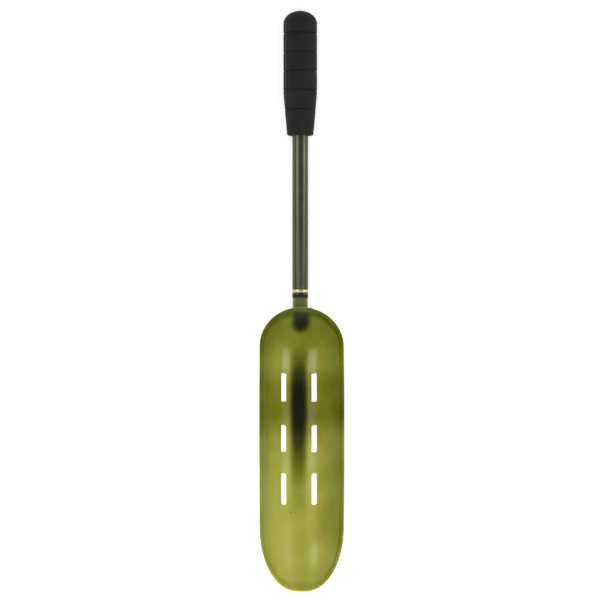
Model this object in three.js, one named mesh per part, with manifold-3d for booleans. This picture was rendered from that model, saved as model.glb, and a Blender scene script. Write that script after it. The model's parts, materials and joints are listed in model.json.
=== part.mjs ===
// A long-handled slotted scoop: a moulded translucent spoon screwed to a tube handle.
// Millimetres, +Z up. The handle runs along +Y, the spoon's tip points to -Y, and the
// hollow side faces up. The object lies on z = 0, on its keel and its grip.
import * as THREE from "three";
import { mergeVertices } from "three/addons/utils/BufferGeometryUtils.js";
import Module from "manifold-3d";

const wasm = await Module();
wasm.setup();

// ---- Driving dimensions -------------------------------------------------------------

// Fits between pieces.
const seatGap = 0.25; // between faces that seat on each other
const glueGap = 0.15; // around a piece glued or pushed into a bore
const mouldGap = 0.25; // around the stud where the plastic grips it

// Foam grip.
const gripLength = 124.8;
const gripRadius = 16.75;
const gripDome = 13; // length of the rounded butt
const gripTaper = 43; // length of the tapered front
const gripFrontRadius = 13.25;
const gripFrontRound = 2;
const gripButt = 13.5; // solid foam behind the bore
const grooveCount = 5;
const grooveFirst = 22.8; // from the butt to the first ring groove
const groovePitch = 19.1;
const grooveWidth = 1.3;
const grooveDepth = 0.8;

// Handle tube and the plug in its far end.
const tubeRadius = 7.95;
const tubeWall = 1.2;
const tubeExposed = 153.9; // from the trim ring to the grip
const plugFlange = 1.5;
const plugLength = 12;
const plugRib = 0.7; // depth of the grooves between the plug's ribs

// Trim ring, threaded insert and sealing washer.
const ringWidth = 3.35;
const ringProud = 0.2; // how far the ring stands out from the tube
const ringCrown = 0.35;
const flangeThickness = 2.4;
const flangeProud = 0.2;
const edgeRound = 0.4;
const insertLength = 19.5; // inside the tube, above the flange
const insertWaist = 0.6; // depth of the insert's glue grooves
const washerThickness = 1.6;
const washerProud = 0.15;
const washerPlay = 0.19; // between the washer's bore and the thread

// Thread: 20 turns to the inch on a 3/8 inch stud.
const threadPitch = 1.27;
const threadRadius = 4.76;
const rootPerPitch = 0.6378; // depth of the stud's thread for each millimetre of pitch
const borePerPitch = 0.4803; // depth of the insert's thread, likewise
const crestPerPitch = 0.126; // flat on top of the thread, likewise
const threadLength = 12.7;
const threadFit = 0.12; // clearance square to the thread's faces
const boreDepth = 13.9; // threaded part of the insert's bore
const reliefPlay = 0.29; // between the thread and the recess at the end of the bore
const reliefLength = 2.3;
const flankSlope = Math.tan(Math.PI / 6);

// Stud.
const headFlats = 11;
const headThickness = 7;
const shankLength = 15.5; // from the neck's mouth to the hexagon head

// Scoop: neck, boss and gate mark.
const neckLength = 10.55;
const neckSetIn = 0.4; // how far the neck stands in from the tube
const flareProud = 1.25; // how far the flare stands out from the neck
const neckFlareLength = 4;
const bossProud = 0.25;
const bossReach = 23.5; // how far the boss runs in under the bowl
const bossRound = 4;
const gateRadius = 0.9;
const gateLength = 3;
const gateOffset = 9.4;
const gateProud = 1.3;

// Scoop: bowl.
const bowlLength = 282.5;
const bowlHalfWidth = 42;
const bowlSwell = 0.45; // how much the sides belly out between the rounded ends
const wall = 2.6;
const neckArc = 38.7; // length of the rounded neck end
const tipArc = 64; // length of the rounded tip
const tipFullness = 0.88;
const neckRimBand = 3.9; // level width of the rim at the neck end
const tipRimBand = 4.8;
const headSunk = 1.9985; // how far the stud's head rises past the bowl's underside, into its wall
const rimDrop = 2; // from the neck end to the tip
const rimRise = 3.5; // in the middle, over the straight line between the ends
const keelStart = 64; // the flat keel runs from here
const keelEnd = 142.5; // to here, measured from the neck end
const keelNeckPower = 2.06;
const keelTipPower = 3.6;
const landHalfWidth = 5.5;
const sideAngle = THREE.MathUtils.degToRad(80);

// Drain slots: start and length of each row, measured from the neck end of the bowl.
const slotRows = [
  { start: 63.7, length: 28, round: 0.3 },
  { start: 115.5, length: 26.5, round: 0.3 },
  { start: 163.5, length: 31, round: 1.5 },
];
const slotOffset = 15.1;
const slotWidth = 5;
const slotSlant = 1.1;

// ---- Places that follow from the dimensions -------------------------------------------

const overallLength = bowlLength + neckLength + seatGap + washerThickness + seatGap
  + flangeThickness + seatGap + ringWidth + seatGap + tubeExposed + gripLength;
const axisHeight = gripRadius;
const tipY = -overallLength / 2;
const bowlTopY = tipY + bowlLength;
const neckMouthY = bowlTopY + neckLength;
const washerY = neckMouthY + seatGap;
const flangeY = washerY + washerThickness + seatGap;
const ringY = flangeY + flangeThickness + seatGap;
const tubeY = ringY + ringWidth + seatGap;
const gripY = tubeY + tubeExposed;
const buttY = gripY + gripLength;
const boreEndY = buttY - gripButt;
const plugTopY = boreEndY - seatGap;
const tubeEndY = plugTopY - plugFlange - seatGap;
const tubeBore = tubeRadius - tubeWall;
const insertRadius = tubeBore - glueGap;
const ringRadius = tubeRadius + ringProud;
const flangeRadius = tubeRadius + flangeProud;
const washerRadius = tubeRadius + washerProud;
const neckRadius = tubeRadius - neckSetIn;
const neckFlare = neckRadius + flareProud;
const bossRadius = neckRadius + bossProud;
const threadRoot = threadRadius - rootPerPitch * threadPitch;
const threadBore = threadRadius - borePerPitch * threadPitch; // through the insert
const threadCrest = crestPerPitch * threadPitch;
const washerBore = threadRadius + washerPlay;
const reliefRadius = threadRadius + reliefPlay;
const headEnd = shankLength + headThickness - neckLength; // from the neck end of the bowl
// The keel's curve comes down from the rim, so the rim's height keeps the head inside the wall.
const rimNeck = (axisHeight + headFlats / 2 - headSunk) / (1 - headEnd / keelStart) ** keelNeckPower;
const rimTip = rimNeck - rimDrop;

const turnSegments = 32;
const threadSegments = 16;

// ---- Solids ---------------------------------------------------------------------------

// Six times the volume of a closed mesh, negative when its faces point inwards.
function signedVolume(positions, triangles) {
  const a = new THREE.Vector3();
  const b = new THREE.Vector3();
  const c = new THREE.Vector3();
  let total = 0;
  for (const [i, j, k] of triangles) {
    a.fromArray(positions, 3 * i);
    b.fromArray(positions, 3 * j);
    c.fromArray(positions, 3 * k);
    total += a.dot(b.cross(c));
  }
  return total;
}

// Turns a closed three.js geometry into a solid that can be joined and cut.
function toSolid(geometry) {
  const bare = geometry.clone();
  bare.deleteAttribute("normal");
  bare.deleteAttribute("uv");
  const merged = mergeVertices(bare);
  const positions = merged.attributes.position.array;
  const index = merged.index.array;
  const triangles = [];
  for (let i = 0; i < index.length; i += 3) {
    const [a, b, c] = index.slice(i, i + 3);
    if (a !== b && b !== c && c !== a) triangles.push([a, b, c]);
  }
  if (signedVolume(positions, triangles) < 0) {
    triangles.forEach((triangle) => triangle.reverse());
  }
  return new wasm.Manifold(new wasm.Mesh({
    numProp: 3,
    vertProperties: new Float32Array(positions),
    triVerts: new Uint32Array(triangles.flat()),
  }));
}

function toGeometry(solid) {
  const mesh = solid.getMesh();
  const geometry = new THREE.BufferGeometry();
  geometry.setAttribute("position", new THREE.BufferAttribute(mesh.vertProperties, 3));
  geometry.setIndex(new THREE.BufferAttribute(mesh.triVerts, 1));
  geometry.computeVertexNormals();
  return geometry;
}

// A solid turned about the handle's axis. Points are [radius, y] pairs.
function turned(points, segments = turnSegments) {
  const profile = points.map(([radius, y]) => new THREE.Vector2(radius, y));
  const lathe = new THREE.LatheGeometry(profile, segments);
  return toSolid(lathe.translate(0, 0, axisHeight));
}

// Points of a quarter arc from one [radius, y] place to another, round the given centre.
function quarter(centre, reach, from, to, steps) {
  const points = [];
  for (let i = 0; i <= steps; i += 1) {
    const angle = THREE.MathUtils.degToRad(from + (to - from) * i / steps);
    points.push([centre[0] + reach[0] * Math.cos(angle), centre[1] + reach[1] * Math.sin(angle)]);
  }
  return points;
}

// A screw thread as a bar wound round the axis. The bar's section is a list of
// [place along the axis, radius] pairs, and its middle passes startY at the top.
function threadBar(section, startY, turns) {
  const outline = new THREE.Shape(section.map(([along, radius]) => new THREE.Vector2(along, radius)));
  const steps = Math.round(turns * threadSegments);
  const bar = new THREE.ExtrudeGeometry(outline, { depth: turns, steps, bevelEnabled: false });
  const places = bar.attributes.position;
  for (let i = 0; i < places.count; i += 1) {
    const along = places.getX(i);
    const radius = places.getY(i);
    const turn = places.getZ(i);
    const angle = turn * 2 * Math.PI;
    places.setXYZ(
      i,
      radius * Math.sin(angle),
      startY + along + turn * threadPitch,
      axisHeight + radius * Math.cos(angle),
    );
  }
  return toSolid(bar);
}

// The thread's section between two radii, grown sideways by an extra width.
function threadSection(inner, outer, extra) {
  const halfWidth = (radius) => threadCrest / 2 + (threadRadius - radius) * flankSlope + extra;
  const top = Math.min(outer, threadRadius);
  return [
    [-halfWidth(inner), inner],
    [halfWidth(inner), inner],
    [halfWidth(top), outer],
    [-halfWidth(top), outer],
  ];
}

// ---- Handle ---------------------------------------------------------------------------

// Radius of the grip's skin at a distance from its butt, past the dome.
function gripSkin(fromButt) {
  const intoTaper = fromButt - (gripLength - gripTaper);
  const drop = (gripRadius - gripFrontRadius) * Math.max(0, intoTaper) / gripTaper;
  return gripRadius - drop;
}

function foamGrip() {
  const bore = tubeRadius + glueGap;
  const domeY = buttY - gripDome;
  const dome = quarter([0, domeY], [gripRadius, gripDome], 90, 0, 8);
  const grooves = [];
  for (let i = 0; i < grooveCount; i += 1) {
    const place = grooveFirst + i * groovePitch;
    const skin = gripSkin(place);
    grooves.push(
      [gripSkin(place - grooveWidth / 2), buttY - place + grooveWidth / 2],
      [skin - grooveDepth, buttY - place],
      [gripSkin(place + grooveWidth / 2), buttY - place - grooveWidth / 2],
    );
  }
  const taperStart = [gripRadius, gripY + gripTaper];
  const skin = [...grooves, taperStart].sort((a, b) => b[1] - a[1]);
  const frontCentre = [gripFrontRadius - gripFrontRound, gripY + gripFrontRound];
  const front = quarter(frontCentre, [gripFrontRound, -gripFrontRound], 0, 90, 3);
  return turned([...dome, ...skin, ...front, [bore, gripY], [bore, boreEndY], [0, boreEndY]]);
}

function handleTube() {
  return turned([
    [tubeRadius, tubeY],
    [tubeRadius, tubeEndY],
    [tubeBore, tubeEndY],
    [tubeBore, tubeY],
    [tubeRadius, tubeY],
  ]);
}

function buttPlug() {
  const bodyRadius = tubeBore - glueGap;
  const flangeFaceY = plugTopY - plugFlange;
  const ribWidth = plugLength / 5;
  const points = [[0, plugTopY], [tubeRadius, plugTopY], [tubeRadius, flangeFaceY]];
  for (let i = 0; i < 5; i += 1) {
    const radius = i % 2 === 0 ? bodyRadius : bodyRadius - plugRib;
    points.push([radius, flangeFaceY - i * ribWidth], [radius, flangeFaceY - (i + 1) * ribWidth]);
  }
  return turned([...points, [0, flangeFaceY - plugLength]]);
}

function trimRing() {
  const bore = insertRadius + glueGap;
  const middle = ringRadius - ringCrown;
  const crown = quarter([middle, ringY + ringWidth / 2], [ringCrown, ringWidth / 2], -90, 90, 4);
  return turned([[bore, ringY], ...crown, [bore, ringY + ringWidth], [bore, ringY]]);
}

function threadInsert() {
  const flangeTopY = flangeY + flangeThickness;
  const endY = flangeTopY + insertLength;
  const rimRadius = flangeRadius - edgeRound;
  const grooveStep = insertLength / 7;
  const waist = insertRadius - insertWaist;
  const body = [[insertRadius, flangeTopY]];
  for (const step of [3, 5]) {
    body.push([insertRadius, flangeTopY + step * grooveStep], [waist, flangeTopY + step * grooveStep]);
    body.push([waist, flangeTopY + (step + 1) * grooveStep]);
    body.push([insertRadius, flangeTopY + (step + 1) * grooveStep]);
  }
  const blank = turned([
    [0, flangeY],
    ...quarter([rimRadius, flangeY + edgeRound], [edgeRound, edgeRound], -90, 0, 2),
    ...quarter([rimRadius, flangeTopY - edgeRound], [edgeRound, edgeRound], 0, 90, 2),
    ...body,
    [insertRadius, endY],
    [0, endY],
  ]);
  const boreTopY = flangeY + boreDepth;
  const bore = turned([
    [0, flangeY - 1],
    [reliefRadius + 1, flangeY - 1],
    [threadBore, flangeY + reliefRadius - threadBore],
    [threadBore, boreTopY],
    [reliefRadius, boreTopY],
    [reliefRadius, boreTopY + reliefLength],
    [0, boreTopY + reliefLength],
  ]);
  const sideways = threadFit / Math.cos(Math.PI / 6);
  const section = threadSection(threadBore - 0.09, threadRadius + threadFit, sideways);
  const startY = neckMouthY - threadPitch;
  const turns = (boreTopY + reliefLength / 2 - startY) / threadPitch;
  const groove = threadBar(section, startY, Math.round(turns));
  return blank.subtract(bore).subtract(groove);
}

function sealingWasher() {
  const middle = washerRadius - washerThickness / 2;
  const reach = washerThickness / 2;
  const edge = quarter([middle, washerY + reach], [reach, reach], -90, 90, 4);
  return turned([
    [washerBore, washerY],
    ...edge,
    [washerBore, washerY + washerThickness],
    [washerBore, washerY],
  ]);
}

// ---- Stud -----------------------------------------------------------------------------

// The stud without its thread, grown all round by a gap. Its plain end stops at endY.
function plainStud(gap, endY) {
  const headTopY = neckMouthY - shankLength;
  const radius = threadRadius + gap;
  const shank = turned([[0, headTopY - 1], [radius, headTopY - 1], [radius, endY], [0, endY]]);
  const cornerRadius = (headFlats / 2 + gap) / Math.cos(Math.PI / 6);
  const height = headThickness + 2 * gap;
  const head = new THREE.CylinderGeometry(cornerRadius, cornerRadius, height, 6, 1, false, Math.PI / 6);
  head.translate(0, headTopY - headThickness / 2, axisHeight);
  return shank.add(toSolid(head));
}

function threadedStud() {
  const endY = neckMouthY + threadLength;
  const chamfer = threadRadius - threadRoot;
  const core = turned([
    [0, neckMouthY - 1],
    [threadRoot, neckMouthY - 1],
    [threadRoot, endY - chamfer / 2],
    [threadRoot - chamfer / 2, endY],
    [0, endY],
  ]);
  const envelope = turned([
    [0, neckMouthY],
    [threadRoot, neckMouthY],
    [threadRadius + 0.1, neckMouthY + chamfer],
    [threadRadius + 0.1, endY - chamfer],
    [threadRoot - 0.1, endY],
    [0, endY],
  ]);
  const section = threadSection(threadRoot - 0.1, threadRadius, 0);
  const turns = Math.round(threadLength / threadPitch) + 2;
  const thread = threadBar(section, neckMouthY - threadPitch, turns);
  return plainStud(0, neckMouthY).add(core).add(thread.intersect(envelope));
}

// ---- Scoop ----------------------------------------------------------------------------

// Places along the bowl, each with its distance from the neck end and the half-width
// of the outside of the rim there. The rounded ends are stepped by angle.
function bowlStations() {
  const endSteps = 9;
  const firstNeckAngle = THREE.MathUtils.degToRad(7);
  const firstTipAngle = THREE.MathUtils.degToRad(6);
  const stepAngle = (first, i) => first + (Math.PI / 2 - first) * i / endSteps;
  const stations = [];
  for (let i = 0; i <= endSteps; i += 1) {
    const angle = stepAngle(firstNeckAngle, i);
    const along = neckArc * (1 - Math.cos(angle) / Math.cos(firstNeckAngle));
    stations.push({ along, halfWidth: bowlHalfWidth * Math.sin(angle) });
  }
  const tipStart = bowlLength - tipArc;
  const spans = [[neckArc, keelStart, 3], [keelStart, keelEnd, 3], [keelEnd, tipStart, 4]];
  for (const [from, to, steps] of spans) {
    for (let i = 1; i <= steps; i += 1) {
      const along = from + (to - from) * i / steps;
      const share = (along - neckArc) / (tipStart - neckArc);
      const swell = bowlSwell * 4 * share * (1 - share);
      stations.push({ along, halfWidth: bowlHalfWidth + swell });
    }
  }
  for (let i = endSteps - 1; i >= 0; i -= 1) {
    const angle = stepAngle(firstTipAngle, i);
    const along = bowlLength - tipArc * (1 - Math.cos(angle) / Math.cos(firstTipAngle));
    stations.push({ along, halfWidth: bowlHalfWidth * Math.sin(angle) ** tipFullness });
  }
  return stations;
}

// Height of the outside of the bowl along its middle.
function keelHeight(along) {
  if (along < keelStart) return rimNeck * (1 - along / keelStart) ** keelNeckPower;
  if (along < keelEnd) return 0;
  return rimTip * ((along - keelEnd) / (bowlLength - keelEnd)) ** keelTipPower;
}

function rimHeight(along) {
  const share = along / bowlLength;
  return rimNeck + (rimTip - rimNeck) * share + rimRise * 4 * share * (1 - share);
}

// How thick the wall stands above the keel when it is measured straight up.
function wallHeight(along) {
  const step = 0.01;
  const slope = (keelHeight(along + step) - keelHeight(along - step)) / (2 * step);
  return wall * Math.hypot(1, slope);
}

// The rim's outline moved inwards by a share of its level width.
function insetStations(stations, depth) {
  return stations.map((station, i) => {
    const before = stations[Math.max(0, i - 1)];
    const after = stations[Math.min(stations.length - 1, i + 1)];
    const run = new THREE.Vector2(after.along - before.along, after.halfWidth - before.halfWidth);
    run.normalize();
    const endBand = i < stations.length / 2 ? neckRimBand : tipRimBand;
    const band = depth * (wall + (endBand - wall) * run.y ** 2);
    return {
      along: station.along + band * run.y,
      halfWidth: station.halfWidth - band * run.x,
    };
  });
}

// Wraps a flat box round two surfaces: its lower side becomes the first, its upper side
// the second. Each surface takes a row along the bowl and a column across it.
const acrossSteps = 18;
function wrappedBox(rows, lower, upper) {
  const box = new THREE.BoxGeometry(1, 1, 1, acrossSteps, rows - 1, 1);
  const places = box.attributes.position;
  for (let i = 0; i < places.count; i += 1) {
    const column = Math.round(places.getX(i) * acrossSteps);
    const row = Math.round((places.getY(i) + 0.5) * (rows - 1));
    const surface = places.getZ(i) > 0 ? upper : lower;
    places.setXYZ(i, ...surface(row, column));
  }
  return toSolid(box);
}

// One skin of the bowl, from the outside (depth 0) to the inside (depth 1) of its wall:
// a flat land along the middle and an arc up to the rim on each side.
function bowlSkin(stations, depth) {
  const inset = insetStations(stations, depth);
  return (row, column) => {
    const { along, halfWidth } = inset[row];
    const land = landHalfWidth * halfWidth / bowlHalfWidth;
    const steps = Math.abs(column);
    const angle = sideAngle * Math.max(0, steps - 1) / (acrossSteps / 2 - 1);
    const reach = (halfWidth - land) * Math.sin(angle) / Math.sin(sideAngle);
    const x = Math.sign(column) * (land * Math.min(1, steps) + reach);
    const floor = keelHeight(along) + depth * wallHeight(along);
    const rise = (1 - Math.cos(angle)) / (1 - Math.cos(sideAngle));
    return [x, bowlTopY - along, floor + (rimHeight(along) - floor) * rise];
  };
}

// One drain slot, as a prism that stands through the wall. Its neck end is cut slanting,
// with the outer side nearer the neck, and its tip end has rounded corners.
function slotPrism({ start, length, round }, side) {
  const half = slotWidth / 2;
  const endY = -length;
  const outline = new THREE.Shape();
  outline.moveTo(half, slotSlant / 2);
  outline.lineTo(-half, -slotSlant / 2);
  outline.lineTo(-half, endY + round);
  outline.absarc(-half + round, endY + round, round, Math.PI, 1.5 * Math.PI, false);
  outline.absarc(half - round, endY + round, round, 1.5 * Math.PI, 2 * Math.PI, false);
  outline.closePath();
  const depth = axisHeight + 2;
  const prism = new THREE.ExtrudeGeometry(outline, { depth, bevelEnabled: false, curveSegments: 2 });
  prism.scale(side, 1, 1);
  return toSolid(prism.translate(side * slotOffset, bowlTopY - start, -1));
}

function scoop() {
  const stations = bowlStations();
  const rows = stations.length;
  const outside = bowlSkin(stations, 0);
  const inside = bowlSkin(stations, 1);
  const middle = bowlSkin(stations, 0.5);
  const lidHeight = rimNeck + rimRise + rimTip;
  const lid = (row, column) => {
    const [x, y] = middle(row, column);
    return [x, y, lidHeight];
  };
  const shell = wrappedBox(rows, outside, inside);
  const hollow = wrappedBox(rows, middle, lid);

  const flareY = bowlTopY - 1;
  const bossY = bowlTopY - bossReach;
  const neck = turned([
    [0, neckMouthY],
    [neckRadius - edgeRound, neckMouthY],
    [neckRadius, neckMouthY - edgeRound],
    [neckRadius, flareY + neckFlareLength],
    [neckFlare, flareY],
    [bossRadius, flareY - neckFlareLength],
    ...quarter([bossRadius - bossRound, bossY + bossRound], [bossRound, -bossRound], 0, 90, 3),
    [0, bossY],
  ]);

  const gate = new THREE.CylinderGeometry(gateRadius, gateRadius, gateLength, 12);
  const gateEdge = bowlTopY - neckArc * (1 - Math.sqrt(1 - (gateOffset / bowlHalfWidth) ** 2));
  gate.translate(gateOffset, gateEdge + gateProud - gateLength / 2, rimNeck - 2 * gateRadius);

  let body = neck.subtract(hollow).add(shell).add(toSolid(gate));
  for (const row of slotRows) {
    for (const side of [-1, 1]) {
      body = body.subtract(slotPrism(row, side));
    }
  }
  return body.subtract(plainStud(mouldGap, neckMouthY + 1));
}

// ---- Assembly -------------------------------------------------------------------------

const pieces = [
  { name: "foam_grip", make: foamGrip, color: 0x2c2c2b, roughness: 0.85, metalness: 0 },
  { name: "handle_tube", make: handleTube, color: 0x565f43, roughness: 0.35, metalness: 0.85 },
  { name: "butt_plug", make: buttPlug, color: 0x1c1c1c, roughness: 0.6, metalness: 0 },
  { name: "trim_ring", make: trimRing, color: 0xd8b86c, roughness: 0.25, metalness: 1 },
  { name: "thread_insert", make: threadInsert, color: 0x2a2624, roughness: 0.45, metalness: 0.6 },
  { name: "sealing_washer", make: sealingWasher, color: 0x191817, roughness: 0.8, metalness: 0 },
  { name: "threaded_stud", make: threadedStud, color: 0x9a9690, roughness: 0.3, metalness: 1 },
  { name: "scoop", make: scoop, color: 0x878a2e, roughness: 0.15, metalness: 0 },
];

const assembly = new THREE.Group();
for (const { name, make, color, roughness, metalness } of pieces) {
  const material = new THREE.MeshStandardMaterial({ color, roughness, metalness });
  const mesh = new THREE.Mesh(toGeometry(make()), material);
  mesh.name = name;
  assembly.add(mesh);
}

export default assembly;
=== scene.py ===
# %% [markdown]
# # A long-handled slotted scoop
# The scoop is a translucent olive moulding with six drain slots. It screws on to an
# anodised tube that ends in a foam grip. Every piece is modelled in metres, in the same
# frame as the CAD model, so each one is made where it belongs and nothing is fitted later.

# %% Load the frame
import json
import math
import bmesh
import bpy
from mathutils import Matrix, Vector

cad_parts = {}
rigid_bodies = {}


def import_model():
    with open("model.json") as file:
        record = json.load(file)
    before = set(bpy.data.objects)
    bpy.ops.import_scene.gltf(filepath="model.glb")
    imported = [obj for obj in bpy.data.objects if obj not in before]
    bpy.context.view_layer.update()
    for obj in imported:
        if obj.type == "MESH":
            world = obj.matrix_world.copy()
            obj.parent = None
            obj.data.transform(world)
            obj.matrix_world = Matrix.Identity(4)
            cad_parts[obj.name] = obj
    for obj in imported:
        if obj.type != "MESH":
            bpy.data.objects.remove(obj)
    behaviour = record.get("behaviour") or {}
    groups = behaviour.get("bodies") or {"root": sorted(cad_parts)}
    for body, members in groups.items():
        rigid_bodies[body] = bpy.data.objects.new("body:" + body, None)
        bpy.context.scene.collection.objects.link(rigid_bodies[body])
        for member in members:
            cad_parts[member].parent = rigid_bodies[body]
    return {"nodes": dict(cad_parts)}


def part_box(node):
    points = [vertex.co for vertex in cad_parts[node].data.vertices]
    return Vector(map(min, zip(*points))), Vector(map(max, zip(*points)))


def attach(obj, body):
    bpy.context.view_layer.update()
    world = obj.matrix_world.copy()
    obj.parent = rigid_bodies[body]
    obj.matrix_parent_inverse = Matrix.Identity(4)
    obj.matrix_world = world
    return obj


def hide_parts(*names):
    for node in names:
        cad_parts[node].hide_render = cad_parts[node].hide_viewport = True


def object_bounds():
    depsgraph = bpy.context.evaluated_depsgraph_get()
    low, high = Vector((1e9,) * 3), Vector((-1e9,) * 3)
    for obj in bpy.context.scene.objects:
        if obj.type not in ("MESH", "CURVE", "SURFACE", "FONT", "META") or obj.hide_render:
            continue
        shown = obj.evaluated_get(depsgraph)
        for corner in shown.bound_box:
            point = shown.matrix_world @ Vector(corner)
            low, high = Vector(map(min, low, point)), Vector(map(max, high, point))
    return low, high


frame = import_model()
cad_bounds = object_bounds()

MM = 0.001
print("CAD box", [[round(v / MM, 1) for v in corner] for corner in cad_bounds])

# %% [markdown]
# ## Where things are
# Most sizes come from the CAD boxes: the axis height is the middle of the tube, and each
# ring starts where its box starts. Only the shapes inside a box are repeated one by one.

# %% Places taken from the frame
def span(node, axis):
    """Lowest and highest place of a CAD node along one axis, in metres."""
    low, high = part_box(node)
    return low[axis], high[axis]


X, Y, Z = 0, 1, 2
AXIS = sum(span("handle_tube", Z)) / 2
TUBE_RADIUS = span("handle_tube", X)[1]
GRIP_FRONT, GRIP_BUTT = span("foam_grip", Y)
GRIP_RADIUS = span("foam_grip", X)[1]
NECK_MOUTH = span("scoop", Y)[1]
BOWL_TIP = span("scoop", Y)[0]
BOWL_LENGTH = 282.5 * MM
BOWL_TOP = BOWL_TIP + BOWL_LENGTH
print("axis height", round(AXIS / MM, 2), "grip radius", round(GRIP_RADIUS / MM, 2))

# %% [markdown]
# ## Node helpers
# A procedural material is a small graph. These helpers add a node, set its plain values
# by name, and join sockets, so that each material below reads as a short recipe.

# %% Shader helpers
def add_node(tree, kind, values=None, **settings):
    """A new node. Settings are its properties, values its unlinked inputs."""
    node = tree.nodes.new(kind)
    for key, value in settings.items():
        setattr(node, key, value)
    for key, value in (values or {}).items():
        node.inputs[key].default_value = value
    return node


def ramp(tree, source, stops):
    """A colour ramp fed by source. Stops are (place, grey or colour) pairs."""
    node = add_node(tree, "ShaderNodeValToRGB")
    elements = node.color_ramp.elements
    while len(elements) < len(stops):
        elements.new(0.5)
    for element, (place, colour) in zip(elements, stops):
        element.position = place
        rgb = (colour,) * 3 if isinstance(colour, (int, float)) else colour
        element.color = (*rgb, 1)
    tree.links.new(source, node.inputs["Fac"])
    return node.outputs["Color"]


# Where the Mix node keeps its factor, its two colours and its mixed colour.
MIX_FACTOR, MIX_FIRST, MIX_SECOND, MIX_RESULT = 0, 6, 7, 2


def mix_colour(tree, factor, first, second, blend="MIX"):
    """Two colours mixed by a factor. Each may be a socket or a plain value."""
    node = add_node(tree, "ShaderNodeMix", data_type="RGBA", blend_type=blend)
    for place, value in ((MIX_FACTOR, factor), (MIX_FIRST, first), (MIX_SECOND, second)):
        if hasattr(value, "links"):
            tree.links.new(value, node.inputs[place])
        elif place == MIX_FACTOR:
            node.inputs[place].default_value = value
        else:
            node.inputs[place].default_value = (*value, 1)
    return node.outputs[MIX_RESULT]


def maths(tree, operation, first, second=0.0, clamp=False):
    """One step of arithmetic. Each input may be a socket or a number."""
    node = add_node(tree, "ShaderNodeMath", operation=operation, use_clamp=clamp)
    for place, value in enumerate((first, second)):
        if hasattr(value, "links"):
            tree.links.new(value, node.inputs[place])
        else:
            node.inputs[place].default_value = value
    return node.outputs[0]


def split(tree, vector):
    """The X, Y and Z of a vector socket."""
    node = add_node(tree, "ShaderNodeSeparateXYZ")
    tree.links.new(vector, node.inputs[0])
    return [node.outputs[axis] for axis in "XYZ"]


def new_material(name, **constants):
    """A material with its Principled shader. Plain numbers go on the shader's sockets."""
    material = bpy.data.materials.new(name)
    material.use_nodes = True
    shader = material.node_tree.nodes["Principled BSDF"]
    for key, value in constants.items():
        shader.inputs[key.replace("_", " ")].default_value = value
    return material, material.node_tree, shader


# %% [markdown]
# ## Effects that several finishes share
# Fine grain, lengthwise drawing lines and soft blotches turn up on foam, metal and
# plastic alike. Each is a node group with its own scale, built once and placed in the
# materials with other values, so that they stay in step.

# %% Shared effect groups
def new_group(name, inputs, outputs):
    """An empty shader group with (name, socket type, default) inputs and named outputs."""
    tree = bpy.data.node_groups.new(name, "ShaderNodeTree")
    for socket_name, kind, default in inputs:
        socket = tree.interface.new_socket(socket_name, in_out="INPUT", socket_type=kind)
        socket.default_value = default
    for socket_name, kind in outputs:
        tree.interface.new_socket(socket_name, in_out="OUTPUT", socket_type=kind)
    return tree, tree.nodes.new("NodeGroupInput"), tree.nodes.new("NodeGroupOutput")


FLOAT = "NodeSocketFloat"


def grain_group():
    """Fine pores and soft blotches. Size is the pore size in metres."""
    inputs = [("Size", FLOAT, 0.0005), ("Blotch Size", FLOAT, 0.02)]
    outputs = [("Height", FLOAT), ("Blotch", FLOAT)]
    tree, given, result = new_group("fine_grain", inputs, outputs)
    place = add_node(tree, "ShaderNodeTexCoord").outputs["Object"]
    pores = add_node(tree, "ShaderNodeTexVoronoi", {"Randomness": 1.0})
    specks = add_node(tree, "ShaderNodeTexNoise", {"Detail": 3.0, "Roughness": 0.6})
    blotch = add_node(tree, "ShaderNodeTexNoise", {"Detail": 2.0, "Roughness": 0.5})
    fine = maths(tree, "DIVIDE", 1.0, given.outputs["Size"])
    coarse = maths(tree, "DIVIDE", 1.0, given.outputs["Blotch Size"])
    for texture, scale in ((pores, fine), (specks, fine), (blotch, coarse)):
        tree.links.new(place, texture.inputs["Vector"])
        tree.links.new(scale, texture.inputs["Scale"])
    height = maths(tree, "MULTIPLY", pores.outputs["Distance"], specks.outputs["Fac"])
    tree.links.new(height, result.inputs["Height"])
    tree.links.new(blotch.outputs["Fac"], result.inputs["Blotch"])
    return tree


def draw_lines_group():
    """Fine lines along Y, as left by drawing a tube or by wiping a surface."""
    inputs = [("Spacing", FLOAT, 0.0002), ("Length", FLOAT, 0.05)]
    tree, given, result = new_group("draw_lines", inputs, [("Lines", FLOAT)])
    place = add_node(tree, "ShaderNodeTexCoord").outputs["Object"]
    across = maths(tree, "DIVIDE", 1.0, given.outputs["Spacing"])
    along = maths(tree, "DIVIDE", 1.0, given.outputs["Length"])
    scale = add_node(tree, "ShaderNodeCombineXYZ")
    for socket, value in (("X", across), ("Y", along), ("Z", across)):
        tree.links.new(value, scale.inputs[socket])
    stretched = add_node(tree, "ShaderNodeVectorMath", operation="MULTIPLY")
    tree.links.new(place, stretched.inputs[0])
    tree.links.new(scale.outputs["Vector"], stretched.inputs[1])
    lines = add_node(tree, "ShaderNodeTexNoise",
                     {"Scale": 1.0, "Detail": 2.0, "Roughness": 0.6})
    tree.links.new(stretched.outputs["Vector"], lines.inputs["Vector"])
    tree.links.new(lines.outputs["Fac"], result.inputs["Lines"])
    return tree


GRAIN = grain_group()
DRAW_LINES = draw_lines_group()


def use_group(tree, group, **values):
    """One shared effect placed in a material with its own values."""
    node = add_node(tree, "ShaderNodeGroup", node_tree=group)
    for key, value in values.items():
        node.inputs[key.replace("_", " ")].default_value = value
    return node.outputs


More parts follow.
